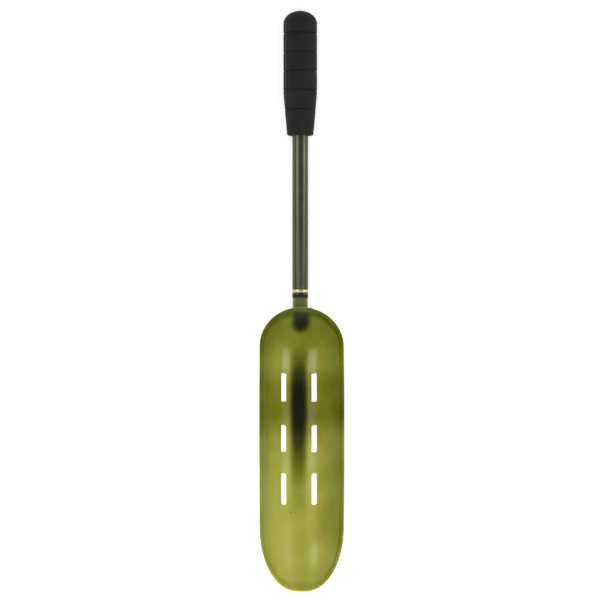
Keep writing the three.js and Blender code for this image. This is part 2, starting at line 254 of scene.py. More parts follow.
def bump(tree, shader, height, distance, strength=1.0):
    """A bump of the given height, in metres, on the shader's normal."""
    node = add_node(tree, "ShaderNodeBump", {"Strength": strength, "Distance": distance})
    tree.links.new(height, node.inputs["Height"])
    tree.links.new(node.outputs["Normal"], shader.inputs["Normal"])
    return node


def roughness_between(tree, shader, mask, low, high):
    """Roughness that runs from low to high as the mask runs from 0 to 1."""
    spread = add_node(tree, "ShaderNodeMapRange", {"To Min": low, "To Max": high})
    tree.links.new(mask, spread.inputs["Value"])
    tree.links.new(spread.outputs["Result"], shader.inputs["Roughness"])


# %% [markdown]
# ## Foam
# The grip is closed-cell EVA foam, ground to shape. Its skin is matt and nearly black,
# full of cut cells a fraction of a millimetre across. Voronoi cells give the sunken cut
# cells, darkened with painted shade, and a slow noise gives the faint blotches that
# handling leaves.

# %% Foam finish
FOAM_DARK, FOAM_LIGHT = (0.0125, 0.0125, 0.0115), (0.0185, 0.0185, 0.017)


def foam_finish():
    material, tree, shader = new_material("eva_foam", Specular_IOR_Level=0.1, Sheen_Weight=0.02,
                                          Sheen_Roughness=0.6)
    grain = use_group(tree, GRAIN, Size=0.0007, Blotch_Size=0.018)
    tone = ramp(tree, grain["Blotch"], [(0.3, FOAM_DARK), (0.7, FOAM_LIGHT)])
    # Painted shade: the colour is darker in the sunken cells.
    pit_shade = ramp(tree, grain["Height"], [(0.02, 0.55), (0.2, 1.0)])
    colour = mix_colour(tree, 1.0, tone, pit_shade, "MULTIPLY")
    tree.links.new(colour, shader.inputs["Base Color"])
    roughness_between(tree, shader, grain["Blotch"], 0.62, 0.8)
    bump(tree, shader, grain["Height"], 0.0002, 0.6)
    return material


FOAM = foam_finish()

# %% [markdown]
# ## Anodised metal
# The tube, the trim ring and the insert are aluminium with a coloured oxide skin. The
# skin keeps the drawing lines of the metal under it, so the same lines group drives
# a little roughness and a little colour in all three. The bare stud shares the recipe.

# %% Metal finishes
def anodised_finish(name, dark, light, roughness, line_spacing):
    material, tree, shader = new_material(name, Metallic=1.0, Coat_Weight=0.15,
                                          Coat_Roughness=0.15)
    lines = use_group(tree, DRAW_LINES, Spacing=line_spacing, Length=0.03)["Lines"]
    blotch = use_group(tree, GRAIN, Size=0.0004, Blotch_Size=0.03)["Blotch"]
    worn = maths(tree, "MULTIPLY", lines, maths(tree, "ADD", blotch, 0.5))
    colour = ramp(tree, worn, [(0.3, dark), (0.7, light)])
    tree.links.new(colour, shader.inputs["Base Color"])
    roughness_between(tree, shader, lines, roughness - 0.08, roughness + 0.1)
    bump(tree, shader, lines, 0.00002, 0.5)
    return material


TUBE_SKIN = anodised_finish("olive_anodised_tube", (0.064, 0.076, 0.043),
                            (0.090, 0.104, 0.062), 0.38, 0.0003)
GOLD_SKIN = anodised_finish("gold_anodised_ring", (0.60, 0.49, 0.21),
                            (0.72, 0.60, 0.30), 0.42, 0.0002)
BLACK_SKIN = anodised_finish("black_anodised_insert", (0.042, 0.034, 0.030),
                             (0.066, 0.055, 0.048), 0.34, 0.0002)
STUD_SKIN = anodised_finish("stud_steel", (0.45, 0.44, 0.42),
                            (0.62, 0.61, 0.58), 0.28, 0.0002)

# %% [markdown]
# ## Rubber and plain plastic
# The sealing washer is soft black rubber and the plug inside the tube is a plain black
# moulding. Both are matt, and differ in how rough and how even they are.

# %% Rubber and plug finishes
def matt_finish(name, dark, light, low, high, pore):
    material, tree, shader = new_material(name, Specular_IOR_Level=0.4)
    grain = use_group(tree, GRAIN, Size=pore, Blotch_Size=0.006)
    colour = ramp(tree, grain["Blotch"], [(0.3, dark), (0.7, light)])
    tree.links.new(colour, shader.inputs["Base Color"])
    roughness_between(tree, shader, grain["Blotch"], low, high)
    bump(tree, shader, grain["Height"], 0.00005, 0.4)
    return material


RUBBER = matt_finish("black_rubber", (0.012, 0.012, 0.012), (0.022, 0.021, 0.020),
                     0.5, 0.7, 0.0003)
PLUG_PLASTIC = matt_finish("black_plastic", (0.015,) * 3, (0.025,) * 3, 0.4, 0.55, 0.0008)

# %% [markdown]
# ## Translucent plastic
# Light goes into the wall, scatters and comes out tinted. Random-walk subsurface gives
# that from the real wall thickness. On top of the tint, the colour carries painted light
# and shade over the scoop: painted shade where the keel lies on the table and where the
# boss and its stud block the light behind the wall, and painted light in the open tip.
# Soft windows on the object's own axes add up to that depth.

# %% Soft windows
def smooth_step(tree, value, start, end, share=1.0):
    """Rises smoothly from 0 at start to share at end. Start may be the larger."""
    rising = start < end
    limits = {"From Min": min(start, end), "From Max": max(start, end),
              "To Min": 0.0 if rising else share, "To Max": share if rising else 0.0}
    node = add_node(tree, "ShaderNodeMapRange", limits, interpolation_type="SMOOTHSTEP")
    tree.links.new(value, node.inputs["Value"])
    return node.outputs["Result"]


def near(tree, value, place, edge, core, share=1.0):
    """The full share within core of a place, fading to 0 at edge."""
    distance = maths(tree, "ABSOLUTE", maths(tree, "ADD", value, -place))
    return smooth_step(tree, distance, edge, core, share)


# %% [markdown]
# Each shade has a strength and pairs of places, in metres, where it starts and where it
# is full. Along the bowl, the depth is a ramp from the tip at 0 to the neck at 1, with
# painted light paler towards the tip. The keel's painted shade is a stripe and the boss's
# is a capsule. Painted shade makes one side of the lower bowl a little deeper, and the
# rims are a little deeper too. One dark speck sits in the moulding, and slow clouds are
# its flow.

# %% Tint depth, with painted light and shade
# Painted light and shade along the bowl, on top of the plastic's tint: paler towards the tip,
# where light comes in through the wall.
TINT_AND_LIGHT_ALONG = [(0.0, 0.15), (0.12, 0.15), (0.25, 0.18), (0.36, 0.16), (0.46, 0.21),
               (0.54, 0.30), (0.63, 0.49), (0.73, 0.46), (0.80, 0.34), (0.88, 0.43),
               (0.95, 0.47)]
# Painted shade: a dark stripe along the keel, where it lies on the table.
KEEL_PAINTED_SHADE, KEEL_ACROSS = 0.58, (0.0115, 0.0025)
KEEL_AT_TIP, KEEL_FROM_TIP, KEEL_FROM_NECK = 0.14, (-0.225, -0.100), (-0.034, -0.086)
# Painted shade: a dark capsule where the boss and its stud block the light coming through the
# wall.
BOSS_PAINTED_SHADE, BOSS_REACHES = 0.50, (0.0120, 0.003)
BOSS_TURN, BOSS_FROM_NECK = -0.0225, (-0.0085, -0.0195)
# Painted shade: the lower bowl is a little darker on one side.
SIDE_PAINTED_SHADE, SIDE_ACROSS, SIDE_ALONG = 0.13, (-0.006, 0.034), (-0.140, -0.175)
RIM_SHADE, RIM_UP = 0.16, (0.0240, 0.0300)
SPECK_SHADE, SPECK_X, SPECK_Y = 0.5, -0.0082, -0.2095
SPECK_ACROSS, SPECK_ALONG = (0.0011, 0.0003), (0.0009, 0.0003)
CLOUD_SHADE = 0.26


def boss_reach(tree, across, along):
    """How far a point is from the boss's middle line, with a round end past its turn."""
    past_end = maths(tree, "MINIMUM", maths(tree, "ADD", along, -BOSS_TURN), 0.0)
    offset = add_node(tree, "ShaderNodeCombineXYZ")
    tree.links.new(across, offset.inputs["X"])
    tree.links.new(past_end, offset.inputs["Y"])
    reach = add_node(tree, "ShaderNodeVectorMath", operation="LENGTH")
    tree.links.new(offset.outputs[0], reach.inputs[0])
    return reach.outputs["Value"]


def tint_and_shade_depth(tree, blotch):
    """The depth, from 0, pale, to 1, dark, with painted light and shade in it, and the places
    along and across the scoop.
    """
    sideways, along, up = split(tree, add_node(tree, "ShaderNodeTexCoord").outputs["Object"])
    across = maths(tree, "ABSOLUTE", sideways)

    def step(value, places, share=1.0):
        return smooth_step(tree, value, *places, share)

    def product(first, second):
        return maths(tree, "MULTIPLY", first, second)

    length = BOWL_TOP - BOWL_TIP
    from_tip = maths(tree, "ADD", product(along, 1 / length), -BOWL_TIP / length)
    depth = ramp(tree, from_tip, TINT_AND_LIGHT_ALONG)
    # The painted shade of the keel, the boss and one side is added to the depth below.
    keel_along = maths(tree, "ADD", step(along, KEEL_FROM_TIP), KEEL_AT_TIP, clamp=True)
    keel = product(step(across, KEEL_ACROSS, KEEL_PAINTED_SHADE),
                   product(keel_along, step(along, KEEL_FROM_NECK)))
    boss = product(step(boss_reach(tree, across, along), BOSS_REACHES, BOSS_PAINTED_SHADE),
                   step(along, BOSS_FROM_NECK))
    side = product(step(sideways, SIDE_ACROSS, SIDE_PAINTED_SHADE), step(along, SIDE_ALONG))
    rim = step(up, RIM_UP, RIM_SHADE)
    speck = product(near(tree, sideways, SPECK_X, *SPECK_ACROSS, SPECK_SHADE),
                    near(tree, along, SPECK_Y, *SPECK_ALONG))
    cloud = product(maths(tree, "SUBTRACT", blotch, 0.5), CLOUD_SHADE)
    for extra in (keel, boss, side, rim, speck, cloud):
        depth = maths(tree, "ADD", depth, extra)
    return depth, along, across


# %% [markdown]
# One ramp turns the depth into colour. The steep side walls and the neck end are seen
# through more plastic, so they turn a little greener. The neck is frosted by the mould,
# with a coarse pale grain, and a band of painted shade runs where it meets the bowl.

# %% Plastic finish
TINTS = [(0.0, (0.68, 0.68, 0.18)), (0.2, (0.57, 0.57, 0.115)), (0.5, (0.275, 0.278, 0.012)),
         (0.75, (0.076, 0.082, 0.004)), (1.0, (0.012, 0.013, 0.001))]
WALL_GREEN, WALL_ACROSS = (0.82, 0.97, 1.1), (0.024, 0.0415)
NECK_END_GREEN, NECK_END_ALONG = 0.85, (-0.042, -0.012)
FROST_DARK, FROST_LIGHT = (0.12, 0.15, 0.030), (0.21, 0.24, 0.060)
FROST_START, FROST_FULL = BOWL_TOP - 0.006, BOWL_TOP - 0.0005
# Painted shade: a dark band round the place where the neck meets the bowl.
JUNCTION_SHADE_TINT, JUNCTION_SHADE_SHARE, JUNCTION_SHADE_HALF = (0.06, 0.075, 0.012), 0.6, (0.0020, 0.0005)
JUNCTION_SHADE_PLACE = BOWL_TOP - 0.0004
GLOSS_SCUFFED, GLOSS_FROSTED = 0.12, 0.25
RELIEF_SMOOTH, RELIEF_FROSTED = 0.02, 0.7


def plastic_colour(tree, grain, depth, along, across, neck):
    """The tint by depth, greener in the walls, frosted on the neck, with painted shade where the
    neck meets the bowl.
    """
    tint = ramp(tree, depth, TINTS)
    wall = maths(tree, "MAXIMUM", smooth_step(tree, across, *WALL_ACROSS),
                 smooth_step(tree, along, *NECK_END_ALONG, NECK_END_GREEN))
    tint = mix_colour(tree, wall, tint, WALL_GREEN, "MULTIPLY")
    frosted = ramp(tree, grain, [(0.15, FROST_DARK), (0.7, FROST_LIGHT)])
    colour = mix_colour(tree, neck, tint, frosted)
    junction_shade = near(tree, along, JUNCTION_SHADE_PLACE, *JUNCTION_SHADE_HALF, JUNCTION_SHADE_SHARE)
    return mix_colour(tree, junction_shade, colour, JUNCTION_SHADE_TINT)


def plastic_finish():
    material, tree, shader = new_material(
        "olive_translucent_plastic",
        Subsurface_Weight=1.0,
        Subsurface_Scale=0.003,
        IOR=1.5,
        Coat_Weight=0.25,
        Coat_Roughness=0.06,
    )
    shader.inputs["Subsurface Radius"].default_value = (1.0, 0.9, 0.2)
    grain = use_group(tree, GRAIN, Size=0.0009, Blotch_Size=0.03)
    depth, along, across = tint_and_shade_depth(tree, grain["Blotch"])
    neck = smooth_step(tree, along, FROST_START, FROST_FULL)
    colour = plastic_colour(tree, grain["Height"], depth, along, across, neck)
    tree.links.new(colour, shader.inputs["Base Color"])
    scuffs = use_group(tree, DRAW_LINES, Spacing=0.0008, Length=0.03)["Lines"]
    gloss = maths(tree, "ADD", maths(tree, "MULTIPLY", scuffs, GLOSS_SCUFFED),
                  maths(tree, "MULTIPLY", neck, GLOSS_FROSTED))
    roughness_between(tree, shader, gloss, 0.16, 1.0)
    relief = bump(tree, shader, grain["Height"], 0.00015)
    strength = maths(tree, "ADD", maths(tree, "MULTIPLY", neck, RELIEF_FROSTED), RELIEF_SMOOTH)
    tree.links.new(strength, relief.inputs["Strength"])
    return material


PLASTIC = plastic_finish()

# %% [markdown]
# ## Turned pieces
# The grip, the tube and the rings are all turned about one axis. A half section is drawn
# as a line of points and spun a full turn. Spinning is exact, keeps quads in rows, and
# a small arc at each corner gives the edge the real piece has.

# %% Turned-piece helpers
def arc(centre, reach, start, end, steps):
    """Points of an arc round centre, given as (radius, y), between two angles in degrees."""
    angles = [math.radians(start + (end - start) * i / steps) for i in range(steps + 1)]
    return [(centre[0] + reach[0] * math.cos(angle), centre[1] + reach[1] * math.sin(angle))
            for angle in angles]


def spun(profile, closed=False, steps=96):
    """A bmesh spun round the handle's axis from (radius, y) points in metres."""
    bm = bmesh.new()
    points = [bm.verts.new((radius, y, AXIS)) for radius, y in profile]
    pairs = list(zip(points, points[1:]))
    if closed:
        pairs.append((points[-1], points[0]))
    edges = [bm.edges.new(pair) for pair in pairs]
    bmesh.ops.spin(bm, geom=points + edges, cent=(0, 0, AXIS), axis=(0, 1, 0),
                   angle=2 * math.pi, steps=steps, use_merge=True)
    bmesh.ops.remove_doubles(bm, verts=bm.verts, dist=1e-7)
    bmesh.ops.recalc_face_normals(bm, faces=bm.faces)
    return bm


def new_object(name, data):
    """A new object in the scene. A bmesh is turned into its mesh, and is used up."""
    if isinstance(data, bmesh.types.BMesh):
        bm, data = data, bpy.data.meshes.new(name)
        bm.to_mesh(data)
        bm.free()
    thing = bpy.data.objects.new(name, data)
    bpy.context.scene.collection.objects.link(thing)
    return thing


def make_piece(name, bm, material, body, nodes, sharp_above=35):
    """Turns a bmesh into a finished piece that rides on a body and stands for CAD nodes."""
    piece = new_object(name, bm)
    mesh = piece.data
    mesh.shade_smooth()
    mesh.set_sharp_from_angle(angle=math.radians(sharp_above))
    mesh.materials.append(material)
    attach(piece, body)
    if nodes:
        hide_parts(*nodes)
    print(name, len(mesh.polygons), "faces")
    return piece


# %% [markdown]
# ## Foam grip
# The butt is a flattened dome, the front tapers towards the tube, and five narrow ring
# grooves are ground into the skin. Each groove has rounded lips, because foam can't
# hold a sharp edge. The bore takes the tube.

# %% Foam grip
GROOVES = 5
FIRST_GROOVE = 22.8 * MM
GROOVE_PITCH = 19.1 * MM
GROOVE_DEPTH = 1.3 * MM
GROOVE_HALF = 0.8 * MM
GROOVE_STEPS = 6
GRIP_DOME = 13 * MM
GRIP_TAPER = 43 * MM
GRIP_FRONT_RADIUS = 13.25 * MM
GRIP_FRONT_ROUND = 2 * MM
GRIP_BORE_GAP = 0.15 * MM
GRIP_BORE_EDGE = 0.3 * MM
GRIP_BUTT_FOAM = 13.5 * MM


def grip_skin(from_butt):
    """Radius of the grip at a distance from its butt, past the dome."""
    taper = max(0.0, from_butt - (GRIP_BUTT - GRIP_FRONT - GRIP_TAPER)) / GRIP_TAPER
    return GRIP_RADIUS + (GRIP_FRONT_RADIUS - GRIP_RADIUS) * taper


def grip_groove(place):
    """Points across one groove: a raised cosine, steep in the middle, with soft lips."""
    points = []
    for i in range(-GROOVE_STEPS, GROOVE_STEPS + 1):
        share = i / GROOVE_STEPS
        offset = share * GROOVE_HALF
        dip = GROOVE_DEPTH * (0.5 + 0.5 * math.cos(math.pi * share)) ** 2
        points.append((grip_skin(place + offset) - dip, GRIP_BUTT - place - offset))
    return points


def grip_profile():
    """The grip's half section, from the middle of its butt round to the end of its bore."""
    points = arc((0, GRIP_BUTT - GRIP_DOME), (GRIP_RADIUS, GRIP_DOME), 90, 0, 28)
    skin = [(GRIP_RADIUS, GRIP_FRONT + GRIP_TAPER)]
    for i in range(GROOVES):
        skin += grip_groove(FIRST_GROOVE + i * GROOVE_PITCH)
    points += sorted(skin, key=lambda point: -point[1])
    centre = (GRIP_FRONT_RADIUS - GRIP_FRONT_ROUND, GRIP_FRONT + GRIP_FRONT_ROUND)
    points += arc(centre, (GRIP_FRONT_ROUND, -GRIP_FRONT_ROUND), 0, 90, 8)
    bore = TUBE_RADIUS + GRIP_BORE_GAP
    bore_end = GRIP_BUTT - GRIP_BUTT_FOAM
    return points + [(bore + GRIP_BORE_EDGE, GRIP_FRONT), (bore, GRIP_FRONT + GRIP_BORE_EDGE),
                     (bore, bore_end), (0, bore_end)]


grip = make_piece("foam_grip_skin", spun(grip_profile(), steps=128), FOAM, "handle",
                  ["foam_grip"])

# %% [markdown]
# ## Tube and plug
# The tube is drawn aluminium with broken edges at both ends. The plug in its far end
# is hidden in the grip. It keeps its CAD shape, and only takes a finish.

# %% Tube and plug
TUBE_WALL = 1.2 * MM
TUBE_EDGE = 0.2 * MM


def broken_ring(inner, outer, low, high, edge):
    """A ring's closed section, with all four corners rounded by edge."""
    corners = [(outer - edge, low + edge), (outer - edge, high - edge),
               (inner + edge, high - edge), (inner + edge, low + edge)]
    points = []
    for centre, start in zip(corners, (-90, 0, 90, 180)):
        points += arc(centre, (edge, edge), start, start + 90, 4)
    return points


tube_low, tube_high = span("handle_tube", Y)
tube_section = broken_ring(TUBE_RADIUS - TUBE_WALL, TUBE_RADIUS, tube_low, tube_high, TUBE_EDGE)
make_piece("tube_skin", spun(tube_section, closed=True), TUBE_SKIN, "handle", ["handle_tube"])

plug = frame["nodes"]["butt_plug"]
plug.data.materials.clear()
plug.data.materials.append(PLUG_PLASTIC)
print("tube from", round(tube_low / MM, 2), "to", round(tube_high / MM, 2))

# %% [markdown]
# ## Trim ring and washer
# The gold ring is slightly crowned, so it catches a bright line. The rubber washer has
# a full round edge, because it bulges where it is squeezed.

# %% Trim ring and washer
RING_BORE = 6.75 * MM
RING_CROWN = 0.35 * MM
WASHER_BORE = 4.95 * MM


def edged_ring(node, bore, steps, crown=None):
    """A ring in the box of a CAD node. Its edge stands out by crown, or is a half circle."""
    low, high = span(node, Y)
    half = (high - low) / 2
    crown = crown or half
    edge = arc((span(node, X)[1] - crown, low + half), (crown, half), -90, 90, steps)
    return spun([(bore, low), *edge, (bore, high)], closed=True)


make_piece("gold_ring", edged_ring("trim_ring", RING_BORE, 16, RING_CROWN), GOLD_SKIN,
           "handle", ["trim_ring"])
make_piece("rubber_washer", edged_ring("sealing_washer", WASHER_BORE, 12), RUBBER,
           "seal", ["sealing_washer"])

# %% [markdown]
# ## Screw threads
# A thread is one small section wound round the axis. Spin does this too: with an offset
# on each step it climbs as it turns. The stud's thread stands out of its core and the
# insert's stands into its bore, both on the same pitch, so they mesh.

# %% Thread helper
THREAD_PITCH = 1.27 * MM
THREAD_RADIUS = 4.76 * MM
THREAD_ROOT = 3.95 * MM
THREAD_LENGTH = 12.7 * MM
THREAD_CREST = 0.08 * MM
FLANK = math.tan(math.radians(30))
TURN_STEPS = 48


def wound(section, start_y, turns):
    """Winds a closed section of (radius, y offset) points into a right-hand thread."""
    bm = bmesh.new()
    points = [bm.verts.new((0, start_y + along, AXIS + radius)) for radius, along in section]
    first = bm.faces.new(points)
    steps = round(turns * TURN_STEPS)
    made = bmesh.ops.spin(bm, geom=list(first.edges) + points, cent=(0, 0, AXIS), axis=(0, 1, 0),
                          dvec=(0, THREAD_PITCH / TURN_STEPS, 0),
                          angle=2 * math.pi * steps / TURN_STEPS, steps=steps, use_merge=False)
    last = [item for item in made["geom_last"] if isinstance(item, bmesh.types.BMEdge)]
    bmesh.ops.contextual_create(bm, geom=last)
    bmesh.ops.recalc_face_normals(bm, faces=bm.faces)
    return bm


def limit_radius(bm, limit):
    """Pulls in every vertex that stands further from the axis than limit(y) allows."""
    for vert in bm.verts:
        radius = math.hypot(vert.co.x, vert.co.z - AXIS)
        allowed = limit(vert.co.y)
        if radius > allowed:
            share = allowed / radius
            vert.co.x *= share
            vert.co.z = AXIS + (vert.co.z - AXIS) * share


# %% [markdown]
# ## Joining solids
# A boolean modifier joins or cuts two closed shapes. It is right here for a thread on
# its core and for the neck on the bowl, where a fine curve meets another at an odd
# angle. The result is read back into a bmesh, so it can be worked on further.

# %% Boolean helper
def combined(base, other, operation):
    """The union or difference of two closed bmeshes, both of which are used up."""
    objects = [new_object("working", bm) for bm in (base, other)]
    cut = objects[0].modifiers.new("cut", "BOOLEAN")
    cut.operation = operation
    cut.solver = "EXACT"
    cut.object = objects[1]
    bpy.context.view_layer.update()
    made = objects[0].evaluated_get(bpy.context.evaluated_depsgraph_get())
    result = bmesh.new()
    result.from_mesh(made.to_mesh())
    for piece in objects:
        mesh = piece.data
        bpy.data.objects.remove(piece)
        bpy.data.meshes.remove(mesh)
    bmesh.ops.remove_doubles(result, verts=result.verts, dist=1e-7)
    print(operation.lower(), "gives", len(result.faces), "faces")
    return result


# %% [markdown]
# ## Threaded insert
# The insert is turned, with a black flange that shows between the gold ring and the
# washer. Two waists hold the glue. Its thread is a ridge wound into the bore, half a
# pitch away from the stud's, so that the two stay clear of each other.

# %% Threaded insert
flange_low, insert_high = span("thread_insert", Y)
flange_radius = span("thread_insert", X)[1]
FLANGE = 2.4 * MM
FLANGE_EDGE = 0.5 * MM
INSERT_RADIUS = 6.6 * MM
INSERT_WAIST = 6.0 * MM
BORE_GROOVE = 4.9 * MM
BORE_CREST = 4.15 * MM
BORE_DEPTH = 13.9 * MM
BORE_MOUTH_RADIUS, BORE_MOUTH_DEPTH = 5.8 * MM, 0.9 * MM
RELIEF_RADIUS, RELIEF_LENGTH = 5.05 * MM, 2.3 * MM
GLUE_BANDS, GLUE_WAISTS = 7, (3, 5)
THREAD_FIT = 0.14 * MM
RIDGE_SUNK = 0.08 * MM
RIDGE_START = 1.2 * MM


def insert_profile():
    """The insert's half section, from the end of its bore round to its closed top."""
    flange_high = flange_low + FLANGE
    bore_top = flange_low + BORE_DEPTH
    relief_top = bore_top + RELIEF_LENGTH
    points = [(0, relief_top), (RELIEF_RADIUS, relief_top), (RELIEF_RADIUS, bore_top),
              (BORE_GROOVE, bore_top), (BORE_GROOVE, flange_low + BORE_MOUTH_DEPTH),
              (BORE_MOUTH_RADIUS, flange_low)]
    edge = (FLANGE_EDGE, FLANGE_EDGE)
    rim = flange_radius - FLANGE_EDGE
    points += arc((rim, flange_low + FLANGE_EDGE), edge, -90, 0, 6)
    points += arc((rim, flange_high - FLANGE_EDGE), edge, 0, 90, 6)
    points.append((INSERT_RADIUS, flange_high))
    step = (insert_high - flange_high) / GLUE_BANDS
    for place in GLUE_WAISTS:
        low, high = flange_high + place * step, flange_high + (place + 1) * step
        points += [(INSERT_RADIUS, low), (INSERT_WAIST, low),
                   (INSERT_WAIST, high), (INSERT_RADIUS, high)]
    return points + [(INSERT_RADIUS, insert_high), (0, insert_high)]


def insert_thread():
    """The ridge between the bore's thread grooves."""
    def half_width(radius):
        return THREAD_PITCH / 2 - (THREAD_CREST + (THREAD_RADIUS - radius) * FLANK + THREAD_FIT)

    base = BORE_GROOVE + RIDGE_SUNK
    section = [(base, -half_width(base)), (base, half_width(base)),
               (BORE_CREST, half_width(BORE_CREST)), (BORE_CREST, -half_width(BORE_CREST))]
    start = flange_low + RIDGE_START
    phase = (start - NECK_MOUTH) / THREAD_PITCH
    start = NECK_MOUTH + (math.ceil(phase) + 0.5) * THREAD_PITCH
    turns = int((flange_low + BORE_DEPTH - start) / THREAD_PITCH)
    return wound(section, start, turns)


insert_body = combined(spun(insert_profile()), insert_thread(), "UNION")
make_piece("insert_body", insert_body, BLACK_SKIN, "handle", ["thread_insert"])

# %% [markdown]
# ## Threaded stud
# The stud is one turned piece with a hexagon head that stops it turning in the plastic.
# Only the washer's gap shows at rest. Unscrewed, its whole thread shows.

# %% Threaded stud
stud_low, stud_high = span("threaded_stud", Y)
HEAD_FLATS = 11 * MM
HEAD_THICKNESS = 7 * MM
HEAD_EDGE = 0.25 * MM
STUD_CHAMFER = 0.6 * MM
STUD_SHOULDER = 0.3 * MM
STUD_SUNK = 1 * MM
THREAD_SUNK = 0.1 * MM
THREAD_FADE = 0.15 * MM


def hex_head(flats, low, high, edge=0.0):
    """A hexagonal prism along the axis with two flats upright, its edges broken by edge."""
    bm = bmesh.new()
    corner = flats / 2 / math.cos(math.pi / 6)
    bmesh.ops.create_cone(bm, cap_ends=True, segments=6, depth=high - low,
                          radius1=corner, radius2=corner)
    bmesh.ops.rotate(bm, verts=bm.verts, cent=(0, 0, 0),
                     matrix=Matrix.Rotation(math.radians(90), 3, "X"))
    bmesh.ops.translate(bm, verts=bm.verts, vec=(0, (low + high) / 2, AXIS))
    if edge:
        bmesh.ops.bevel(bm, geom=bm.edges[:], offset=edge, segments=2, profile=0.5,
                        affect="EDGES", material=-1)
    return bm


def stud_core():
    """The stud without its head and thread: a full shank, a shoulder and the thread's core."""
    start = stud_low + HEAD_THICKNESS - STUD_SUNK
    return spun([(0, start), (THREAD_RADIUS, start), (THREAD_RADIUS, NECK_MOUTH - STUD_SHOULDER),
                 (THREAD_RADIUS - STUD_SHOULDER, NECK_MOUTH), (THREAD_ROOT, NECK_MOUTH),
                 (THREAD_ROOT, stud_high - STUD_CHAMFER),
                 (THREAD_ROOT - STUD_CHAMFER, stud_high), (0, stud_high)])


def stud_thread():
    """The stud's thread, which runs out to nothing at both ends."""
    inner = THREAD_ROOT - THREAD_SUNK
    base = THREAD_CREST + (THREAD_RADIUS - inner) * FLANK
    section = [(inner, -base), (inner, base),
               (THREAD_RADIUS, THREAD_CREST), (THREAD_RADIUS, -THREAD_CREST)]
    turns = THREAD_LENGTH / THREAD_PITCH - 1
    bm = wound(section, NECK_MOUTH + THREAD_PITCH * 0.5, turns)

    def limit(y):
        inside = min(y - NECK_MOUTH, stud_high - y)
        return THREAD_ROOT - THREAD_FADE + max(0.0, inside)

    limit_radius(bm, limit)
    return bm


stud_head = hex_head(HEAD_FLATS, stud_low, stud_low + HEAD_THICKNESS, HEAD_EDGE)
stud_body = combined(combined(stud_core(), stud_head, "UNION"), stud_thread(), "UNION")
make_piece("stud_body", stud_body, STUD_SKIN, "scoop", ["threaded_stud"])

# %% [markdown]
# ## The bowl's shape
# Seen from above the bowl is a long oval: a rounded neck end, nearly straight sides and a
# longer, fuller tip. Across, it is a flat land with an arc up to each rim. Each skin is a
# flat grid whose rows become stations along the oval and whose columns run across it.

# %% Bowl outline
HALF_WIDTH = 42 * MM
SWELL = 0.45 * MM
WALL = 2.6 * MM
NECK_ARC = 38.7 * MM
TIP_ARC = 64 * MM
TIP_FULLNESS = 0.88
NECK_BAND = 3.9 * MM
TIP_BAND = 4.8 * MM
SLOT_ROWS = [(63.7 * MM, 91.7 * MM), (115.5 * MM, 142.0 * MM), (163.5 * MM, 194.5 * MM)]
ROW_STEP = 2.3 * MM


def outline():
    """Stations along the bowl: (distance from the neck end, half-width of the rim)."""
    def rounded_end(length, first, fullness, steps):
        for i in range(steps + 1):
            angle = math.radians(first + (90 - first) * i / steps)
            along = length * (1 - math.cos(angle) / math.cos(math.radians(first)))
            yield along, HALF_WIDTH * math.sin(angle) ** fullness

    stations = list(rounded_end(NECK_ARC, first=7, fullness=1.0, steps=26))
    tip_start = BOWL_LENGTH - TIP_ARC
    breaks = [NECK_ARC, *(edge for row in SLOT_ROWS for edge in row), tip_start]
    for low, high in zip(breaks, breaks[1:]):
        steps = round((high - low) / ROW_STEP)
        for i in range(1, steps + 1):
            along = low + (high - low) * i / steps
            share = (along - NECK_ARC) / (tip_start - NECK_ARC)
            stations.append((along, HALF_WIDTH + SWELL * 4 * share * (1 - share)))
    tip = [(BOWL_LENGTH - along, width)
           for along, width in rounded_end(TIP_ARC, first=6, fullness=TIP_FULLNESS, steps=32)]
    return stations + tip[-2::-1]


STATIONS = outline()
print(len(STATIONS), "stations along the bowl")

# %% [markdown]
# The keel comes down steeply from the neck, lies flat and sweeps up to the tip. The rim
# bows up a little along the sides. The inside follows the outside at one wall's depth,
# and the rim between them is level, as a mould's parting face leaves it.

# %% Keel, rim and wall
RIM_NECK, RIM_TIP, RIM_RISE = 31 * MM, 29 * MM, 3.5 * MM
KEEL_START, KEEL_END = 64 * MM, 142.5 * MM
NECK_POWER, TIP_POWER = 2.06, 3.6
LAND = 5.5 * MM
SIDE_ANGLE = math.radians(80)


def keel_height(along):
    if along < KEEL_START:
        return RIM_NECK * (1 - along / KEEL_START) ** NECK_POWER
    if along < KEEL_END:
        return 0.0
    return RIM_TIP * ((along - KEEL_END) / (BOWL_LENGTH - KEEL_END)) ** TIP_POWER


def rim_height(along):
    share = along / BOWL_LENGTH
    return RIM_NECK + (RIM_TIP - RIM_NECK) * share + RIM_RISE * 4 * share * (1 - share)


def inset(depth):
    """The outline moved inwards by a share of the rim's level width."""
    moved = []
    for i, (along, width) in enumerate(STATIONS):
        before, after = STATIONS[max(0, i - 1)], STATIONS[min(len(STATIONS) - 1, i + 1)]
        run = Vector((after[0] - before[0], after[1] - before[1])).normalized()
        end_band = NECK_BAND if i < len(STATIONS) / 2 else TIP_BAND
        band = depth * (WALL + (end_band - WALL) * run.y ** 2)
        moved.append((along + band * run.y, width - band * run.x))
    return moved


# %% [markdown]
# The slots are openings in both skins, so the grid has columns and rows exactly on their
# edges. Those columns keep the same place across on both skins, which makes the slots'
# walls upright, the way the mould's pins come out.

